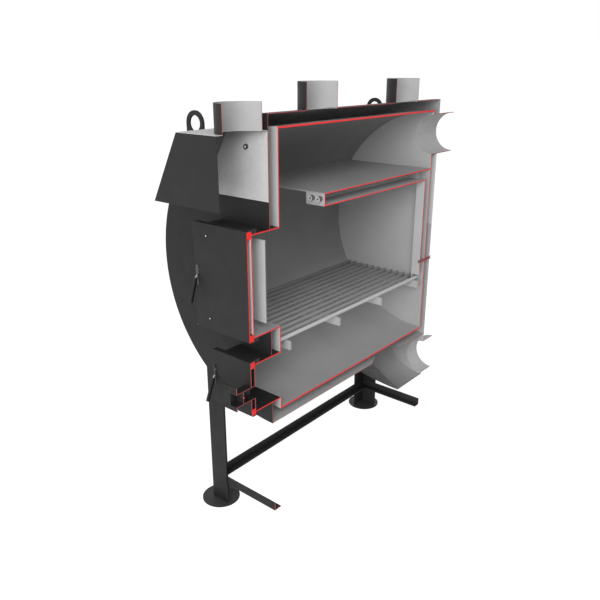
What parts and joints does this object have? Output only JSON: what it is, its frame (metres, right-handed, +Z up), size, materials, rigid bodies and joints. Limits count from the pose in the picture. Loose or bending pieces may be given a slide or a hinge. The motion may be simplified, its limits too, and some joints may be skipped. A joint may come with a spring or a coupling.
{
  "type": "solid fuel air heater",
  "caption": "Round steel air heater on legs, cut open to show its firebox, grate, baffle and air ways, with a smoke hood, hinged fuel and ash doors, latches and an air damper.",
  "frame": {"origin": "on the floor, under the middle of the box around the object", "axes": "+Z up; -Y to the front with the doors; +X to the open cut plane, which lies at x = +0.2 m"},
  "size_m": [0.3999, 1.06, 1.22],
  "materials": {
    "dark_paint": "satin",
    "grey_sheet": "satin",
    "firebox_plate": "matte",
    "bright_steel": "satin",
    "rope": "matte",
    "black_grip": "matte"
  },
  "bodies": {
    "heater": {"casing_shell": "dark_paint", "casing_front_plate": "dark_paint", "casing_rear_plate": "grey_sheet", "front_plate_screw": "bright_steel", "firebox_shell": "firebox_plate", "firebox_front_wall": "firebox_plate", "firebox_rear_wall": "firebox_plate", "fuel_throat": "dark_paint", "ash_throat": "dark_paint", "baffle_plate": "firebox_plate", "air_channel": "firebox_plate", "nozzle_plate": "firebox_plate", "air_nozzles": "firebox_plate", "air_riser": "firebox_plate", "secondary_air_tube": "firebox_plate", "grate_bars": "firebox_plate", "grate_supports": "firebox_plate", "flue_pipe": "grey_sheet", "middle_outlet": "dark_paint", "rear_outlet": "dark_paint", "hood_shell": "dark_paint", "hood_back_plate": "grey_sheet", "hood_bolt": "bright_steel", "hood_outlet": "dark_paint", "front_lifting_eye": "dark_paint", "rear_lifting_eye": "dark_paint", "intake_scoop": "grey_sheet", "intake_rear_plate": "grey_sheet", "intake_pipe": "grey_sheet", "front_leg": "dark_paint", "rear_leg": "dark_paint", "front_foot": "dark_paint", "rear_foot": "dark_paint", "front_stretcher": "dark_paint", "side_stretcher": "dark_paint", "rear_stretcher": "dark_paint", "fuel_hinge_brackets": "dark_paint", "ash_hinge_brackets": "dark_paint", "latch_keepers": "dark_paint"},
    "fuel_door": {"fuel_door_panel": "dark_paint", "fuel_door_frame": "dark_paint", "fuel_door_liner": "firebox_plate", "fuel_door_seal": "rope", "heat_shield": "firebox_plate", "shield_bolts": "bright_steel"},
    "fuel_latch": {"fuel_latch_spindle": "bright_steel", "fuel_latch_lever": "bright_steel", "fuel_latch_grip": "black_grip"},
    "ash_door": {"ash_door_panel": "dark_paint", "ash_door_frame": "dark_paint", "ash_door_liner": "firebox_plate", "ash_door_seal": "rope", "inlet_duct": "dark_paint", "inlet_flange": "dark_paint"},
    "ash_latch": {"ash_latch_spindle": "bright_steel", "ash_latch_lever": "bright_steel", "ash_latch_grip": "black_grip"},
    "damper": {"damper_flap": "bright_steel", "damper_axle": "bright_steel"}
  },
  "joints": [
    {"name": "fuel_door_hinge", "type": "hinge", "parent": "heater", "child": "fuel_door", "pos_m": [0.1968, -0.4387, 0.755], "axis": [0, 0, 1], "range_deg": [0, 110]},
    {"name": "ash_door_hinge", "type": "hinge", "parent": "heater", "child": "ash_door", "pos_m": [0.1968, -0.4387, 0.486], "axis": [0, 0, 1], "range_deg": [0, 110]},
    {"name": "fuel_latch_turn", "type": "hinge", "parent": "fuel_door", "child": "fuel_latch", "pos_m": [0.0225, -0.44, 0.771], "axis": [0, 1, 0], "range_deg": [0, 90]},
    {"name": "ash_latch_turn", "type": "hinge", "parent": "ash_door", "child": "ash_latch", "pos_m": [0.0705, -0.44, 0.504], "axis": [0, 1, 0], "range_deg": [0, 90]},
    {"name": "damper_turn", "type": "hinge", "parent": "ash_door", "child": "damper", "pos_m": [0.19, -0.4735, 0.4755], "axis": [1, 0, 0], "range_deg": [0, 80]}
  ]
}
